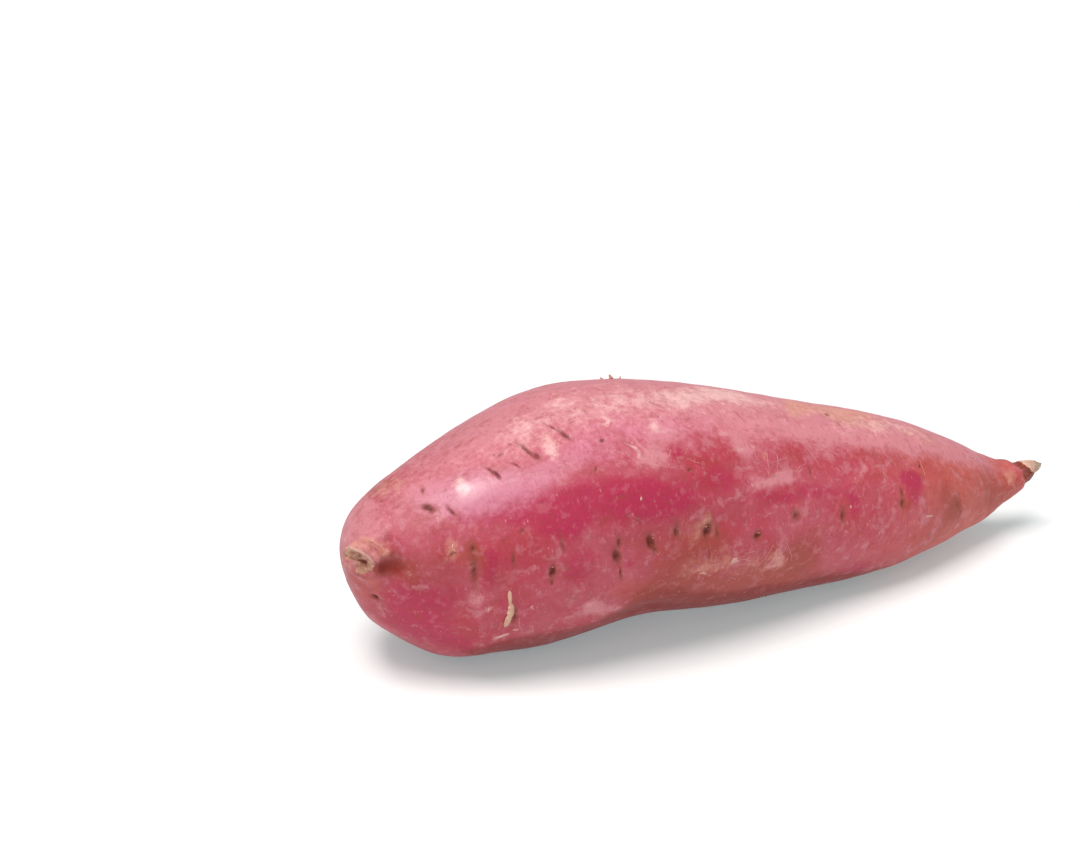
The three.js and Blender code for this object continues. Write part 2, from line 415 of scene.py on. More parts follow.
def roundedSkin(node):
    net = bmesh.new()
    net.from_mesh(node.data)
    bmesh.ops.remove_doubles(net, verts=net.verts, dist=0.001 * mm)
    ends = [vertex for vertex in net.verts if len(vertex.link_edges) > 12]
    stubEnd = min(ends, key=lambda vertex: vertex.co.x)
    spot, outward = stubEnd.co / mm, stubEnd.normal.copy()
    loose = {"angle_face_threshold": math.pi, "angle_shape_threshold": math.pi}
    bmesh.ops.join_triangles(net, faces=net.faces, **loose)
    data = bpy.data.meshes.new("root_skin")
    net.to_mesh(data)
    net.free()
    piece = linked(bpy.data.objects.new("root_skin", data))
    rounding = piece.modifiers.new("rounding", "SUBSURF")
    rounding.levels = rounding.render_levels = skin["rounding"]
    return settled(piece), (spot, outward)


def searchable(data):  # for finding places on a mesh
    places = [vertex.co for vertex in data.vertices]
    return BVHTree.FromPolygons(places, [face.vertices for face in data.polygons])


rootSkin, stubEnd = roundedSkin(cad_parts["sweet_potato"])
surface = searchable(rootSkin.data)

# the middle of the root and its half thickness, every millimetre along it
stations = np.arange(low.x / mm + 0.5, high.x / mm, 1.0)
sections = pointsOf(rootSkin.data)
centres = []
for station in stations:
    ring = sections[np.abs(sections[:, 0] - station) < 0.7]
    lowest, highest = ring.min(0), ring.max(0)
    centres.append((*((lowest + highest) / 2)[1:], (highest - lowest)[1:].sum() / 4))
centres = np.array(centres)


def lieOf(points):  # how far along and around the root, and its half thickness there
    y, z, radius = (np.interp(points[:, 0], stations, centres[:, k]) for k in range(3))
    around = np.degrees(np.arctan2(points[:, 2] - z, y - points[:, 1]))
    return points[:, 0] - low.x / mm, around, radius


def skinAt(along, around):  # the place on the skin, and its outward direction
    x = low.x / mm + along
    y, z = (float(np.interp(x, stations, centres[:, k])) for k in range(2))
    angle = math.radians(around)
    outward = Vector((0, -math.cos(angle), math.sin(angle)))
    place, normal, _, _ = surface.ray_cast(Vector((x, y, z)) * mm, outward)
    return place / mm, normal


def compass(normal):  # the directions along the skin, lengthwise and around
    east = (Vector((1, 0, 0)) - normal * normal.x).normalized()
    return east, normal.cross(east)


def leaning(east, north, lean):  # both turned by the lean, in degrees
    lean = math.radians(lean)
    return east * math.cos(lean) + north * math.sin(lean), north * math.cos(lean) - east * math.sin(lean)


class Mark:
    def __init__(self, along, around, long, wide, lean, deep, dark=0.0):
        self.spot, normal = skinAt(along, around)
        length, width = leaning(*compass(normal), lean)
        self.axes = np.array([length * 2 / long, width * 2 / wide, normal]).T
        self.wide, self.deep, self.dark = wide, deep, dark
        self.reach = max(5, min(long / 4, 14))

    def over(self, points):  # how far off its middle, in half lengths and half widths
        off = (points - np.array(self.spot)) @ self.axes
        below = np.abs(off[:, 2]) > self.reach
        off[below, :2] = 99
        return off[:, 0], off[:, 1]


def allMarks(kind):  # the ones in the list, and more on the sides that are turned away
    draw = random.Random(kind)
    marks = [Mark(*row) for row in skin[kind]]
    for _ in range(skin["hiddenMarks"][kind]):
        along, around = draw.uniform(14, 165), draw.uniform(118, 300)
        thick = float(np.interp(along + low.x / mm, stations, centres[:, 2])) / 30
        long, wide = draw.uniform(1.4, 3.4) * thick, draw.uniform(0.8, 1.5)
        if kind == "slits":
            long, wide = long * 2, wide * 0.6
        lean, deep, dark = draw.uniform(60, 110), draw.uniform(0.3, 0.8), draw.uniform(0.5, 0.95)
        marks.append(Mark(along, around, long, wide, lean, deep, dark))
    return marks


def allPatches(kind):
    draw = random.Random(kind)
    rows = list(skin[kind])
    for _ in range(skin["hiddenPatches"].get(kind, 0)):
        along, around = draw.uniform(10, 170), draw.uniform(120, 290)
        long, broad = draw.uniform(2, 9), draw.uniform(1.5, 5)
        if kind == "chalky":
            long, broad = long / 2, broad / 3
        rows.append((along, around, long, broad, draw.uniform(-60, 60), draw.uniform(0.4, 1.0)))
    return rows


def refined(piece, marks):  # smaller faces close to the marks
    for reach in skin["closeRounds"]:
        net = bmesh.new()
        net.from_mesh(piece.data)
        net.faces.ensure_lookup_table()
        places = np.array([face.calc_center_median()[:] for face in net.faces]) / mm
        near = np.zeros(len(places), bool)
        for mark in marks:
            a, b = mark.over(places)
            near |= np.hypot(a, b / (1 + 0.8 / mark.wide)) < reach
        edges = {edge for number in np.flatnonzero(near) for edge in net.faces[number].edges}
        bmesh.ops.subdivide_edges(net, edges=list(edges), cuts=1, use_grid_fill=True)
        net.to_mesh(piece.data)
        net.free()


def unevenness(points, size, seed):  # about -1 to 1
    shift = Vector((seed * 17.3, seed * 5.1, seed * 9.7))
    return np.array([noise.fractal(Vector(point) / size + shift, 1.0, 2.0, 2) for point in points])


def bump(distance):  # 1 in the middle, softly to 0 outside
    return np.exp(-distance * distance)


def ramp(value, start, full):  # 0 before the start, 1 once it is full
    return np.clip((value - start) / (full - start), 0, 1)


def plateau(value, start, full, fading, gone):
    return ramp(value, start, full) * ramp(value, gone, fading)


def lineGap(aside, up, line):  # how far points are from a line through the given places
    gaps = []
    for (x0, y0), (x1, y1) in zip(line, line[1:]):
        dx, dy = x1 - x0, y1 - y0
        share = np.clip(((aside - x0) * dx + (up - y0) * dy) / (dx * dx + dy * dy), 0, 1)
        gaps.append(np.hypot(aside - x0 - share * dx, up - y0 - share * dy))
    return np.min(gaps, 0)


eyes, slits = allMarks("eyes"), allMarks("slits")
refined(rootSkin, eyes + slits)
print("skin refined:", len(rootSkin.data.vertices), "points")

points = pointsOf(rootSkin.data)
along, around, radius = lieOf(points)
thin = np.clip(radius / 14, 0.2, 1)
rise = np.zeros(len(points))
for number, (size, height) in enumerate(skin["lumps"]):
    rise += height * unevenness(points, size, number + 1) * thin

warp = [unevenness(points, 5.0, 11), unevenness(points, 5.0, 12)]
ragged = [0.3 * unevenness(points, 1.2, 13), 0.3 * unevenness(points, 1.2, 14)]
eyeGap, slitGap = np.full((2, len(points)), 6.0)
for mark in eyes:
    a, b = mark.over(points)
    a, b = a + ragged[0], b + ragged[1]
    gap = np.hypot(a, b)
    rise -= mark.deep * (0.8 * bump(gap * 0.95) + 0.3 * bump(gap / 2.4))
    rise += 0.22 * mark.deep * bump((b + 2.3) / 0.9) * bump(a / 1.4)
    eyeGap = np.minimum(eyeGap, gap + 1.1 * (1 - mark.dark))
for mark in slits:
    a, b = mark.over(points)
    b = b + ragged[0] + 0.5 * np.sin(a * 2.2 + mark.wide * 9)
    taper = np.clip(1 - a * a, 0, 1)
    rise -= mark.deep * bump(b) * taper
    rise += 0.16 * mark.deep * bump((np.abs(b) - 2.2) / 1.0) * taper
    gap = np.hypot(np.maximum(np.abs(a), a * a) * 1.1, b)
    slitGap = np.minimum(slitGap, gap + 1.1 * (1 - mark.dark))
for kind, way in (("creases", -1), ("swells", 1)):
    for mark in (Mark(*row) for row in skin[kind]):
        a, b = mark.over(points)
        rise += way * mark.deep * bump(b) * bump(a)

cover = {}
for kind in ("dusty", "lilac", "deep", "brown", "salmon", "soot", "corky", "chalky", "waxed"):
    cover[kind] = np.zeros(len(points))
    for at, angle, long, broad, lean, strength in allPatches(kind):
        east = along - at + 1.2 * warp[0]
        north = np.radians((around - angle + 180) % 360 - 180) * radius + 1.2 * warp[1]
        length, width = leaning(east, north, lean)
        cover[kind] += strength * bump(np.hypot(length / long, width / broad))

# painted light and shade along the root
cover["light"] = np.interp(along, *skin["light"])
cover["smooth"] = ramp(along, *skin["smooth"])
at, long, angle, broad, share = skin["stillPink"]
stillPink = share * bump((along - at) / long) * bump((around - angle) / broad)
cover["salmon"] += ramp(along, *skin["reddening"]) * (1 - stillPink)
for kind, reach, angle, broad, strength in skin["bands"]:
    cover[kind] += strength * plateau(along, *reach) * bump((around - angle) / broad)
# painted shade low down
dark, reach, turn = skin["undersideShade"]
cover["soot"] += dark * plateau(along, *reach) * plateau(around, *turn)

# the cut stub of the vine, as seen from straight in front of it
stub = {
    "longer": (1.0, 32),  # how much, and over what length of the root
    "carry": (-0.7, 0.6),  # how far the end of the neck is pushed aside and up
    "middle": (-0.9, 0.2),
    "half": (4.5, 3.05),
    "rim": 0.45,
    "hollow": 0.3,
    # aside, up, half wide, half high
    "pit": (0.8, -0.3, 0.9, 0.95),
    "dimples": [(-2.9, -7.0, 0.6, 0.4), (0.2, -9.7, 1.1, 0.4)],
    "notch": (4.3, 5.1, 0.9, 0.9),
    # a dark hollow right of the neck, partly stain and partly painted shade
    "stubStainAndShade": (5.5, -1.0, 3.7, 2.467),
    # lines, each through a few places aside and up
    "lip": [(-4.4, -1.5), (-2.6, -1.7), (-0.5, -2.5), (1.4, -3.2)],
    "crack": [(-4.1, 0.5), (-1.9, 0.3), (0.4, -0.1)],
    "ridge": [(-1.4, 4.0), (1.4, 4.1), (3.6, 3.5), (4.6, 2.4)],
    "heights": {
        "pit": -1.1,
        "lip": 0.3,
        "crack": -0.2,
        "underLip": -0.3,
        "dimple": -0.35,
        "ridge": 0.95,
        "notch": -0.5,
        "stubStainAndShade": -0.5,
    },
}


def shapeStub():
    longer, stretch = stub["longer"]
    points[:, 0] -= longer * np.clip(1 - along / stretch, 0, 1) ** 1.5
    spot, outward = stubEnd
    spot = np.array(spot) - (longer, 0, 0)
    upward = (Vector((0, 0, 1)) - outward * outward.z).normalized()
    sideways = upward.cross(outward)
    aside, up, out = ((points - spot) @ np.array(axis) for axis in (sideways, upward, outward))
    here = (out > -12) & (np.hypot(aside, up) < 16)
    carry = np.clip((out + 5) / 5, 0, 1) * bump(np.hypot(aside, up) / 7) * here
    for way, far in zip((sideways, upward), stub["carry"]):
        points[:] += np.array(way) * (far * carry)[:, None]
    aside, up = aside + 0.5 * ragged[0], up + 0.5 * ragged[1]

    # the cut face and its rim
    x, y = aside - stub["middle"][0], up - stub["middle"][1]
    gap, turn = np.hypot(x / stub["half"][0], y / stub["half"][1]), np.arctan2(y, x)
    front = 1 / (1 + np.exp((gap - 0.8) / 0.05))
    rim = bump((gap - 0.95) / (0.12 + 0.04 * np.sin(turn)))
    rim *= 0.8 + 0.3 * np.sin(turn * 2 - 0.6) + 0.5 * ragged[1]

    def spotted(middleAside, middleUp, wide, high):
        return bump(np.hypot((aside - middleAside) / wide, (up - middleUp) / high))

    marks = {
        "lip": bump(lineGap(aside, up, stub["lip"]) / 0.5),
        "crack": bump(lineGap(aside, up, stub["crack"]) / 0.3),
        "underLip": bump(lineGap(aside, up + 0.55, stub["lip"]) / 0.3),
        "pit": spotted(*stub["pit"]),
        "dimple": sum(spotted(*row) for row in stub["dimples"]),
        "ridge": bump(lineGap(aside, up, stub["ridge"]) / 1.1),
        "notch": spotted(*stub["notch"]),
        "stubStainAndShade": spotted(*stub["stubStainAndShade"]),
    }
    height = stub["rim"] * rim - stub["hollow"] * front
    height += sum(stub["heights"][name] * mark for name, mark in marks.items())
    height += front * (0.07 * np.sin(turn * 17 + 6 * ragged[0]) + 0.06 * np.sin(gap * 20 + 3 * ragged[1]))
    cut = np.clip(1.25 - np.maximum(gap - 0.85, 0) / 0.2, 0, 1) * here

    # the skin has grown over the lower left of the face
    lower = np.clip((0.3 - y - 0.1 * x + 1.4 * ragged[0]) / 0.8, 0, 1)
    lefter = np.clip((1.5 - x + 1.6 * ragged[1]) / 1.6, 0, 1)
    grownOver = lower * lefter * here
    cut *= 1 - 0.6 * grownOver
    height *= 1 - 0.7 * grownOver
    lines, dents = marks["crack"] + marks["underLip"], marks["dimple"] + marks["notch"]
    dark = marks["pit"] + 0.5 * lines + 0.6 * dents
    ridge = marks["ridge"] * here
    # the hollow right of the neck is painted dark: stain and painted shade
    cover["soot"] += marks["stubStainAndShade"] * here
    cover["brown"] += (0.5 * bump((gap - 1.4) / 0.35) + 0.6 * grownOver * (gap < 1.3)) * here
    # the lit fold is painted paler, partly its own salmon colour and partly painted light, and the stains
    # and shade are kept off it
    cover["salmon"] += 1.5 * ridge + 0.5 * grownOver * (gap < 1.3)
    cover["corky"] += 0.8 * ridge
    for kind in ("brown", "soot"):
        cover[kind] *= 1 - 0.9 * ridge
    return height * here, cut, np.clip(dark, 0, 1.3) * here, rim * (0.6 + 0.4 * np.sin(turn + 0.4)) * here


# the dried tip, measured along from the stub end at the top and further on at the bottom
tip = {
    "slant": 0.021,  # millimetres further for each degree down from the top
    "edge": 182.6,  # where the pink skin ends
    "rind": (2.0, 0.018),  # length of the dark rind at the top, and how much longer for each degree off it
    "grey": (188, 189.8),  # it turns grey over this stretch
    "darkTop": (180.4, 2.6, 102, 18),  # along, half long, around, half broad
    "swell": (186.5, 190.5, 0.25),  # over this stretch, and by how much
    "ridges": (7, 0.16),  # how many lengthwise, and their height
    "wrinkles": 0.03,
    "lift": (178, 187, 0.8),  # its end is higher, over this stretch and by this much
    "top": 95,  # the middle of its upper side, in degrees around
}


def shapeTip():
    slant = along + tip["slant"] * (around - tip["top"]) + 0.7 * ragged[0] + 0.5 * warp[1]
    beyond = slant - tip["edge"]
    dry = np.clip((beyond + 1) / 2.5, 0, 1)
    count, ridge = tip["ridges"]
    height = dry * ridge * np.sin(np.radians(around) * count + 0.25 * slant + 0.6 * warp[0])
    height += dry * ridge * 0.5 * np.sin(np.radians(around) * (2 * count + 3) + 1.3 * warp[1])
    height += 0.12 * bump((beyond + 0.9) / 0.8) - 0.28 * bump((beyond - 0.5) / 0.7)
    rind = tip["rind"][0] + tip["rind"][1] * np.abs(around - tip["top"])
    height -= 0.3 * bump((beyond - rind + 0.5) / 0.9)
    start, full, most = tip["swell"]
    height += most * ramp(along, start, full)
    height += tip["wrinkles"] * np.sin(slant * 2.1 + warp[0] * 3) * bump((beyond + 8) / 7)
    burnt = np.clip(beyond / 0.6, 0, 1)
    wood = np.clip((beyond - rind) / 0.7, 0, 1)
    return height * np.clip(radius / 3, 0.2, 1), wood, burnt * (1 - 0.85 * wood)


stubRise, cut, stubDark, rim = shapeStub()
tipRise, tipWood, burnt = shapeTip()
rise += stubRise + tipRise
cover["cream"] = tipWood
cover["cut"] = cut
cover["grey"] = ramp(along, *tip["grey"])
at, long, angle, broad = tip["darkTop"]
topEdge = bump((along - at) / long) * bump((around - angle) / broad)
cover["umber"] = np.clip(stubDark + burnt + 0.8 * topEdge, 0, 1.3)
cover["pale"] = np.clip(rim, 0, 1)

normals = np.empty(len(points) * 3)
rootSkin.data.vertex_normals.foreach_get("vector", normals)
points += normals.reshape(-1, 3) * rise[:, None]
start, full, most = tip["lift"]
points[:, 2] = np.maximum(points[:, 2], 0) + most * ramp(along, start, full) ** 2
rootSkin.data.vertices.foreach_set("co", (points * mm).ravel())
cover.update(eyeGap=eyeGap, slitGap=slitGap)
for kind, amounts in cover.items():
    rootSkin.data.attributes.new(kind, "FLOAT", "POINT").data.foreach_set("value", amounts)
rootSkin.data.shade_smooth()
print("skin shaped:", len(rootSkin.data.polygons), "faces")

# colours of the skin and its marks
tones = {
    "rose": (0.455, 0.050, 0.075),
    "mauve": (0.48, 0.085, 0.12),
    "magenta": (0.435, 0.027, 0.078),
    "salmon": (0.52, 0.108, 0.082),
    "dustyPink": (0.62, 0.23, 0.265),
    "lilac": (0.60, 0.20, 0.285),
    "brownRose": (0.34, 0.055, 0.038),
    "sand": (0.64, 0.285, 0.215),
    "chalk": (0.79, 0.48, 0.455),
    "wood": (0.70, 0.455, 0.35),
    "cut": (0.43, 0.22, 0.15),
    "rim": (0.76, 0.45, 0.35),
    "grey": (0.31, 0.26, 0.20),
    # dark red-brown for stains and painted shade
    "soot": (0.23, 0.016, 0.011),
    "umber": (0.19, 0.042, 0.022),
    "eye": (0.135, 0.024, 0.017),
    "eyeHalo": (0.27, 0.070, 0.048),
    "slit": (0.18, 0.045, 0.038),
}


# patch, where it begins and is full, strength, tone
layers = [
    ("deep", 0.25, 0.8, 0.9, "magenta"),
    ("brown", 0.2, 0.95, 0.88, "brownRose"),
    # dust, and on the top a painted sheen
    ("dusty", 0.2, 0.85, 0.9, "dustyPink"),
    # lilac tint with painted sheen on the lit shoulder
    ("lilac", 0.1, 1.0, 0.85, "lilac"),
    ("corky", 0.3, 0.9, 0.8, "sand"),
    # pale scuffs, a painted highlight and a painted sheen
    ("chalky", 0.35, 0.9, 0.85, "chalk"),
]


def skinFinish():
    finish = Finish("pink_skin")
    fine = finish.grain(0.5, 4, 0.65)
    speckle = finish.grain(1.3, 4, 0.62, shift=3)
    blotch = finish.grain(4.0, 5, 0.62, shift=7, warp=0.25)
    cloud = finish.grain(14, 3, 0.55, shift=11, warp=0.4)
    rings = finish.grain(2.2, 5, 0.65, stretch=(3.4, 1, 1), shift=5)
    veins = finish.grain(3.2, 4, 0.6, stretch=(0.3, 1, 1), shift=15)

    def patch(name, start=0.3, end=0.7, ragged=0.9):
        edge = finish.attribute(name) + (blotch - 0.5) * ragged + (speckle - 0.5) * ragged * 0.7
        return finish.between(edge, start, end)

    colour = finish.blend(finish.between(cloud, 0.35, 0.65), tones["rose"], tones["mauve"])

    def paint(amount, tone):
        nonlocal colour
        colour = finish.blend(amount, colour, tones[tone])

    paint(patch("salmon", 0.1, 0.95) * 0.85, "salmon")
    paint(finish.between(blotch, 0.54, 0.68) * 0.4, "magenta")
    paint(finish.between(blotch, 0.45, 0.33) * 0.5, "dustyPink")
    for name, start, full, strength, tone in layers:
        paint(patch(name, start, full) * strength, tone)
    ringed = 1 - finish.attribute("smooth")
    paint(finish.between(rings, 0.40, 0.28) * ringed * 0.45, "dustyPink")
    paint(finish.between(rings, 0.56, 0.70) * ringed * 0.4, "magenta")
    paint(finish.between(veins, 0.58, 0.72) * 0.35, "brownRose")
    paint(finish.between(veins, 0.38, 0.28) * 0.22, "chalk")
    # stains and painted shade
    paint(patch("soot", 0.25, 1.0) * 0.8, "soot")
    lenticels = 1 - finish.between(finish.cells(4.2, (2.6, 1, 1), 37), 0.05, 0.16)
    paint(lenticels * finish.between(speckle, 0.4, 0.6) * 0.3, "chalk")
    pores = finish.between(finish.grain(1.5, 2, 0.4, shift=31), 0.33, 0.25)
    paint(pores * 0.45, "eyeHalo")

    cream, cut = patch("cream", 0.35, 0.65, 0.4), patch("cut", 0.35, 0.65, 0.3)
    paint(cream * 0.92, "wood")
    paint(cut * 0.92, "cut")
    paint(cut * finish.between(speckle, 0.5, 0.62) * 0.5, "rim")
    paint(cut * finish.between(speckle, 0.44, 0.34) * 0.6, "umber")
    paint(patch("pale", 0.3, 0.8, 0.6) * 0.8, "rim")
    paint(patch("grey", 0.3, 0.9, 0.5) * 0.7, "grey")
    paint(patch("umber", 0.3, 0.9, 0.4) * 0.88, "umber")
    eyeGap = finish.attribute("eyeGap") + (fine - 0.5) * 0.7
    slitGap = finish.attribute("slitGap") + (fine - 0.5) * 0.9
    core = 1 - finish.between(eyeGap, 0.2, 1.8)
    paint((1 - finish.between(eyeGap, 1.0, 3.0)) * 0.6, "eyeHalo")
    paint(core * 0.88, "eye")
    slit = 1 - finish.between(slitGap, 0.3, 1.4)
    paint((1 - finish.between(slitGap, 0.9, 2.6)) * 0.35, "slit")
    paint(slit * 0.85, "slit")
    mottle = finish.grain(2.6, 3, 0.6, shift=43, warp=0.2)
    paint(finish.between(mottle, 0.52, 0.66) * 0.22, "brownRose")
    paint(finish.between(mottle, 0.46, 0.34) * 0.22, "dustyPink")
    # lightness varies at random, plus the painted light and shade kept in the light attribute
    lightness = fine * 0.26 + speckle * 0.24 + blotch * 0.2 + finish.attribute("light") + 0.635

    height = fine * 0.03 + speckle * 0.04 + rings * ringed * 0.07 + veins * 0.05 + blotch * 0.08
    height = height + lenticels * 0.03 - core * 0.2 - slit * 0.12
    dull = patch("dusty") * 0.05 + patch("chalky") * 0.08 + core * 0.3 + (cream + cut) * 0.25
    gloss = finish.attribute("waxed") * 0.85 + 0.03 - core * 0.4 - slit * 0.3 - (cream + cut) * 0.1
    values = {"Specular IOR Level": 0.2, "Coat Roughness": 0.24, "Coat IOR": 1.45}
    values["Coat Weight"] = finish.maths("MAXIMUM", gloss, 0.0)
    return finish.close(finish.shaded(colour, lightness), 0.37 + speckle * 0.14 + dull, height, values)


rootSkin.data.materials.clear()
rootSkin.data.materials.append(skinFinish())
print("skin finished")

skinTree = searchable(rootSkin.data)


def onSkin(along, around):  # the nearest place on the shaped skin, and its outward direction
    place, _ = skinAt(along, around)
    return skinTree.find_nearest(Vector(place) * mm)[:2]


def spotAt(along, around, lean, size, sink=0.0, stand=False):  # lean from the direction along the root
    place, normal = onSkin(along, around)
    length, _ = leaning(*compass(normal), lean)
    up = normal
    if stand:  # it rises from the skin and leans over
        up = (normal + length * 0.9).normalized()
        length = (length - up * length.dot(up)).normalized()
    turn = Matrix((length, up.cross(length), up)).transposed().to_euler()
    return place - normal * sink * mm, turn, [part * mm for part in size]


# thin flakes of dry skin
flecks = {
    "tone": (0.62, 0.32, 0.27),
    "wobble": 0.75,
    "grain": 1300.0,
    "seed": 3.0,
    "few": 30,  # tiny ones all over
    # along, around, lean, long, wide, thick
    "placed": [
        (36.8, -11.4, 30, 1.3, 0.6, 0.08), (85.2, -7.3, 35, 2.6, 1.1, 0.12),
        (146, -0.3, -12, 3.2, 0.5, 0.12), (133.5, -40.5, 40, 2.4, 0.7, 0.1),
        (60.2, 63.7, 0, 1, 0.7, 0.08), (20.6, 31, 70, 1.4, 0.5, 0.08),
        (62.4, 27, 50, 1, 0.5, 0.07), (99, 32.5, 15, 2.2, 0.4, 0.08),
    ],
}
# short dried rootlets, most of them in and around the eyes
rootlets = {
    "tone": (0.50, 0.22, 0.16),
    "wobble": 0.6,
    "grain": 700.0,
    "seed": 6.0,
    "few": 18,
    "placed": [  # along, around, lean, thickness, height
        (72.6, 110, 90, 1.1, 1.3), (74.4, 108, 40, 0.6, 0.9),
        (70.6, 111, 150, 0.5, 0.8), (20.6, 29, -60, 0.5, 0.9),
        (78.9, 9, 120, 0.5, 0.7), (63.9, 8.6, 60, 0.45, 0.7),
        (40.6, 7, 80, 0.4, 0.6), (92.2, 4.4, 30, 0.4, 0.6),
    ],
}
# fine dried root hairs stuck to the skin
hairs = {
    "tone": (0.64, 0.32, 0.29),
    "wobble": 2.2,
    "grain": 420.0,
    "seed": 4.0,
    "thickness": 0.10,
    # middle of the tuft along and around, reach along and around, how many, lean, spread of the lean
    "tufts": [
        (64, 48, 5, 6, 5, -58, 20), (70, 40, 6, 10, 6, 40, 80),
        (101, 36, 7, 8, 6, 30, 80), (86, -11, 7, 7, 6, 10, 50),
        (98, -8, 5, 9, 5, 70, 40), (116, 50, 10, 10, 5, 0, 90),
        (47, 56, 12, 12, 4, -50, 40), (32, -18, 3, 9, 3, 85, 30),
        (78, 80, 14, 8, 4, 20, 60), (140, 40, 14, 14, 4, 0, 90),
        (90, 180, 70, 70, 26, 0, 90),
    ],
}


def flatFlake():
    growth = Growth("flat_flake")
    ball = growth.add("GeometryNodeMeshUVSphere", None, {"Segments": 9, "Rings": 5, "Radius": 0.5})
    growth.end(growth.wobble(growth.placed(ball)))
    return growth


def shortRootlet():
    growth = Growth("short_rootlet")
    sizes = {"Vertices": 7, "Side Segments": 4, "Radius Top": 0.22, "Radius Bottom": 0.5, "Depth": 1.0}
    growth.end(growth.wobble(growth.placed(growth.add("GeometryNodeMeshCone", None, sizes))))
    return growth


def clingingHair():  # a thin line pulled down onto the skin, then given its thickness
    growth = Growth("clinging_hair", Thickness="Float", Skin="Object")
    line = growth.add("GeometryNodeCurvePrimitiveLine", None, {"Start": (-0.5, 0, 0), "End": (0.5, 0, 0)})
    line = growth.add("GeometryNodeResampleCurve", None, {"Curve": line, "Count": 9})
    line = growth.wobble(growth.placed(line))
    under = growth.add("GeometryNodeObjectInfo", None, {"Object": growth.given("Skin")}, output="Geometry")
    nearest = growth.add("GeometryNodeProximity", None, {"Geometry": under}, output="Position")
    line = growth.add("GeometryNodeSetPosition", None, {"Geometry": line, "Position": nearest})
    values = {"Resolution": 5, "Radius": growth.given("Thickness") * 0.5}
    ring = growth.add("GeometryNodeCurvePrimitiveCircle", None, values)
    values = {"Curve": line, "Profile Curve": ring, "Fill Caps": True}
    growth.end(growth.add("GeometryNodeCurveToMesh", None, values))
    return growth


def dryFinish(name, tone):
    finish = Finish(name)
    spots = finish.grain(0.5, 3, 0.6, shift=2)
    streaks = finish.grain(1.2, 3, 0.6, stretch=(1, 1, 0.4), shift=9)
    colour = finish.shaded(tone, spots * 0.5 + streaks * 0.5 + 0.5)
    return finish.close(colour, streaks * 0.2 + 0.6, spots * 0.05, {"Specular IOR Level": 0.25})


def inputsOf(part, material):
    values = {"Material": dryFinish(material, part["tone"]), "Wobble": part["wobble"] * mm}
    return {**values, "Grain": part["grain"], "Seed": part["seed"]}


def growFlecks():
    draw = random.Random(5)
    spots = [spotAt(*row[:3], row[3:]) for row in flecks["placed"]]
    for _ in range(flecks["few"]):
        along, around = draw.uniform(8, 174), draw.uniform(-60, 300)
        long = draw.uniform(0.35, 0.9)
        lean = draw.uniform(0, 180)
        spots.append(spotAt(along, around, lean, (long, long * draw.uniform(0.3, 0.8), 0.06)))
    return flatFlake().on("skin_flecks", spots, inputsOf(flecks, "dry_flakes"))


def growRootlets():
    draw = random.Random(8)
    rows = [(*row[:3], (row[3], row[3], row[4])) for row in rootlets["placed"]]
    for _ in range(rootlets["few"]):
        thick = draw.uniform(0.2, 0.4)
        at = (draw.uniform(10, 172), draw.uniform(-60, 300), draw.uniform(0, 360))
        rows.append((*at, (thick, thick, draw.uniform(0.3, 0.7))))
    spots = [spotAt(*row, sink=0.12, stand=True) for row in rows]
    return shortRootlet().on("rootlets", spots, inputsOf(rootlets, "dry_rootlets"))


def growHairs():
    draw = random.Random(12)
    spots = []
    for along, around, reach, turn, count, lean, spread in hairs["tufts"]:
        for _ in range(count):
            at = (along + draw.gauss(0, 0.5) * reach, around + draw.gauss(0, 0.5) * turn)
            at = (min(max(at[0], 8), 174), at[1])
            spots.append(spotAt(*at, lean + draw.uniform(-spread, spread), (draw.uniform(1.6, 6.5), 1, 1)))
    values = {**inputsOf(hairs, "dry_hairs"), "Thickness": hairs["thickness"] * mm, "Skin": rootSkin}
    return clingingHair().on("root_hairs", spots, values)


# dried strands: the rootlet that clings below the first eyes, and loose fibres at the tip
strands = {
    "dried_rootlet": {
        "tone": (0.60, 0.35, 0.25),
        "paths": [  # along, around, half width, half thickness, height of the middle over the skin
            [
                (31.1, 1, 0.2, 0.1, -0.1), (31.1, -1, 0.5, 0.3, 0),
                (31.2, -4, 0.55, 0.3, 0), (31.2, -6.5, 0.3, 0.2, -0.1),
            ],
            [
                (31.3, -6.5, 0.3, 0.2, -0.1), (31.5, -8.5, 0.75, 0.35, 0),
                (31.4, -12, 0.8, 0.45, 0.1), (31, -15.5, 0.65, 0.45, 0.2),
                (30.7, -18.5, 0.6, 0.4, 0.2), (30.5, -20.5, 0.2, 0.15, 0.1),
            ],
        ],
    },
    "tip_fibres": {
        "tone": (0.60, 0.41, 0.31),
        "paths": [
            [
                (186.5, 86, 0.2, 0.15, 0), (188, 88, 0.28, 0.2, 0.1),
                (190, 92, 0.2, 0.16, 0.2), (191.6, 96, 0.06, 0.06, 0.4),
            ],
            [
                (187, 62, 0.2, 0.15, 0), (188.5, 62, 0.26, 0.2, 0.05),
                (190.4, 66, 0.18, 0.15, 0.15), (191.8, 70, 0.06, 0.06, 0.2),
            ],
            [(188.5, 25, 0.15, 0.1, 0), (190, 28, 0.2, 0.15, 0.1), (191.6, 34, 0.06, 0.06, 0.1)],
            [(187, 132, 0.2, 0.15, 0), (189, 128, 0.26, 0.2, 0.1), (191.4, 120, 0.06, 0.06, 0.2)],
            [(188, 205, 0.2, 0.15, 0), (189.6, 206, 0.22, 0.15, 0.1), (191.2, 210, 0.06, 0.06, 0.2)],
        ],
    },
}


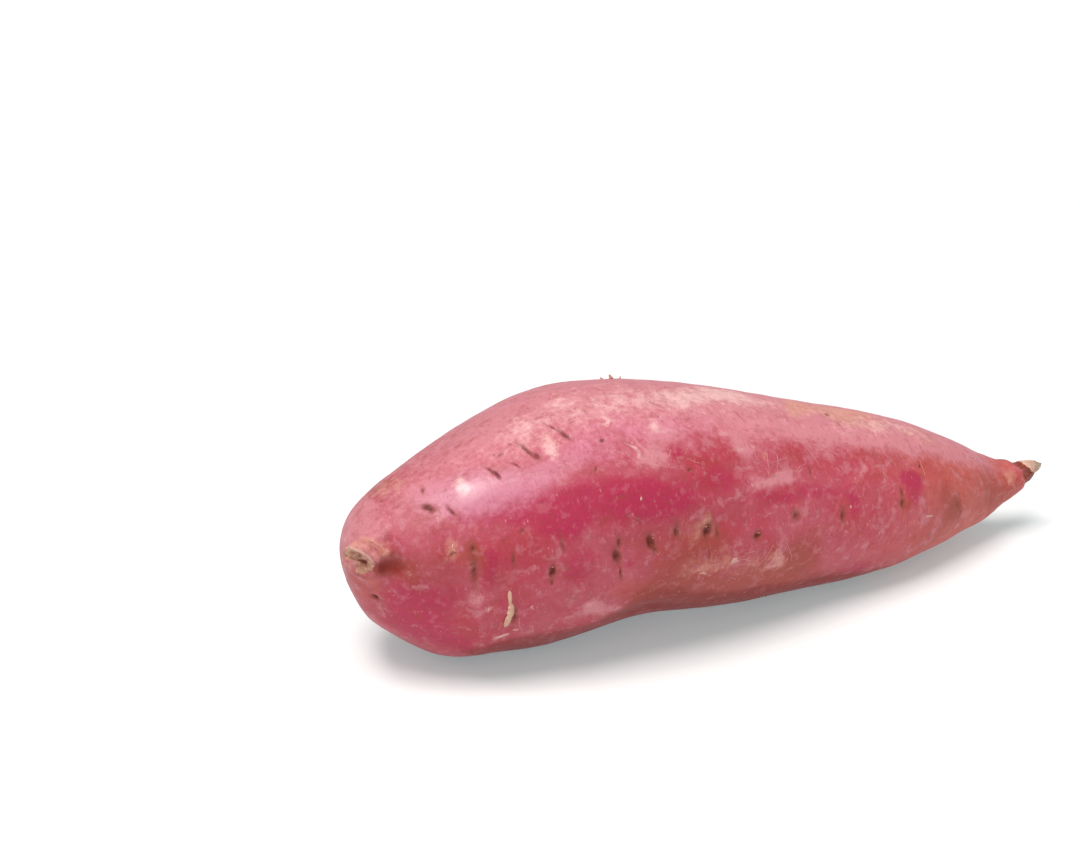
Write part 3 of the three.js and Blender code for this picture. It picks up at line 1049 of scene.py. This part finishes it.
def tubeAlong(route):  # rings of a flattened tube: place, outward direction, half width, half thickness
    corners, faces = [], []
    for number, (place, outward, wide, thick) in enumerate(route):
        ahead, behind = route[min(number + 1, len(route) - 1)][0], route[max(number - 1, 0)][0]
        side = (ahead - behind).cross(outward).normalized()
        for spoke in range(8):
            angle = math.radians(45 * spoke)
            corners.append(place + side * math.cos(angle) * wide + outward * math.sin(angle) * thick)
    for ring in range(len(route) - 1):
        for spoke in range(8):
            first, second = ring * 8 + spoke, ring * 8 + (spoke + 1) % 8
            faces.append((first, first + 8, second + 8, second))
    faces.append(tuple(range(8)))
    faces.append(tuple(reversed(range(len(corners) - 8, len(corners)))))
    return corners, faces


def smoothed(rows, steps=6):  # more rows between the given ones, on a smooth curve
    rows = [np.array(row) for row in (rows[0], *rows, rows[-1])]
    finer = []
    for a, b, c, d in zip(rows, rows[1:], rows[2:], rows[3:]):
        for t in np.arange(steps) / steps:
            once, twice, thrice = c - a, 2 * a - 5 * b + 4 * c - d, 3 * b - a - 3 * c + d
            finer.append(0.5 * (2 * b + once * t + twice * t**2 + thrice * t**3))
    return [*finer, rows[-1]]


def strandPiece(name):
    corners, faces = [], []
    for path in strands[name]["paths"]:
        route = []
        for at, angle, wide, thick, lift in smoothed(path):
            place, outward = onSkin(at, angle)
            rugged = 1 + 0.35 * noise.noise(Vector((at * 1.9, angle * 0.7, wide * 9)))
            route.append((place / mm + outward * lift, outward, wide * rugged, thick * rugged))
        more, sides = tubeAlong(route)
        faces += [tuple(number + len(corners) for number in side) for side in sides]
        corners += more
    for number, corner in enumerate(corners):
        corners[number] = (corner + noise.noise_vector(corner * 1.7) * 0.12) * mm
    data = bpy.data.meshes.new(name)
    data.from_pydata(corners, [], faces)
    data.materials.append(dryFinish(name, strands[name]["tone"]))
    data.shade_smooth()
    return linked(bpy.data.objects.new(name, data))


grown = [growFlecks(), growRootlets(), growHairs(), *(strandPiece(name) for name in strands)]
print("grown:", {piece.name: len(piece.data.polygons) for piece in grown})


def floorFinish():
    finish = Finish("pale_floor")
    cloud = finish.between(finish.grain(90, 2), 0.2, 0.8)
    colour = finish.blend(cloud * 0.5, studio["floor"], studio["floorShade"])
    away = finish.add("ShaderNodeVectorMath", {"operation": "LENGTH"}, {0: finish.place}, output="Value")
    # the floor's glow is painted light: a little near the root, lightening its shadow, more far off
    glow = finish.blend(finish.between(away, *studio["glowChange"]), studio["floorGlow"], studio["farGlow"])
    return finish.close(colour, 0.8, None, {"Emission Color": glow, "Emission Strength": 1.0})


def setStage():
    net = bmesh.new()
    bmesh.ops.create_grid(net, x_segments=8, y_segments=8, size=studio["floorSize"] / 2)
    data = bpy.data.meshes.new("floor")
    net.to_mesh(data)
    net.free()
    data.materials.append(floorFinish())
    linked(bpy.data.objects.new("floor", data))
    for name, place, size, watts, colour in studio["lamps"]:
        lamp = bpy.data.lights.new(name, "AREA")
        lamp.shape, lamp.size, lamp.energy, lamp.color = "DISK", size, watts, colour
        light = linked(bpy.data.objects.new(name, lamp))
        light.location = place
        light.rotation_euler = (middle - light.location).to_track_quat("-Z", "Y").to_euler()
    scene.world = bpy.data.worlds.new("room")
    scene.world.use_nodes = True
    room = scene.world.node_tree.nodes["Background"].inputs
    room["Color"].default_value = (*studio["room"], 1)
    room["Strength"].default_value = studio["roomStrength"]
    scene.view_settings.view_transform = "Standard"


setStage()
print("stage set")

for piece in (rootSkin, *grown):
    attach(piece, "root")
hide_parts("sweet_potato")
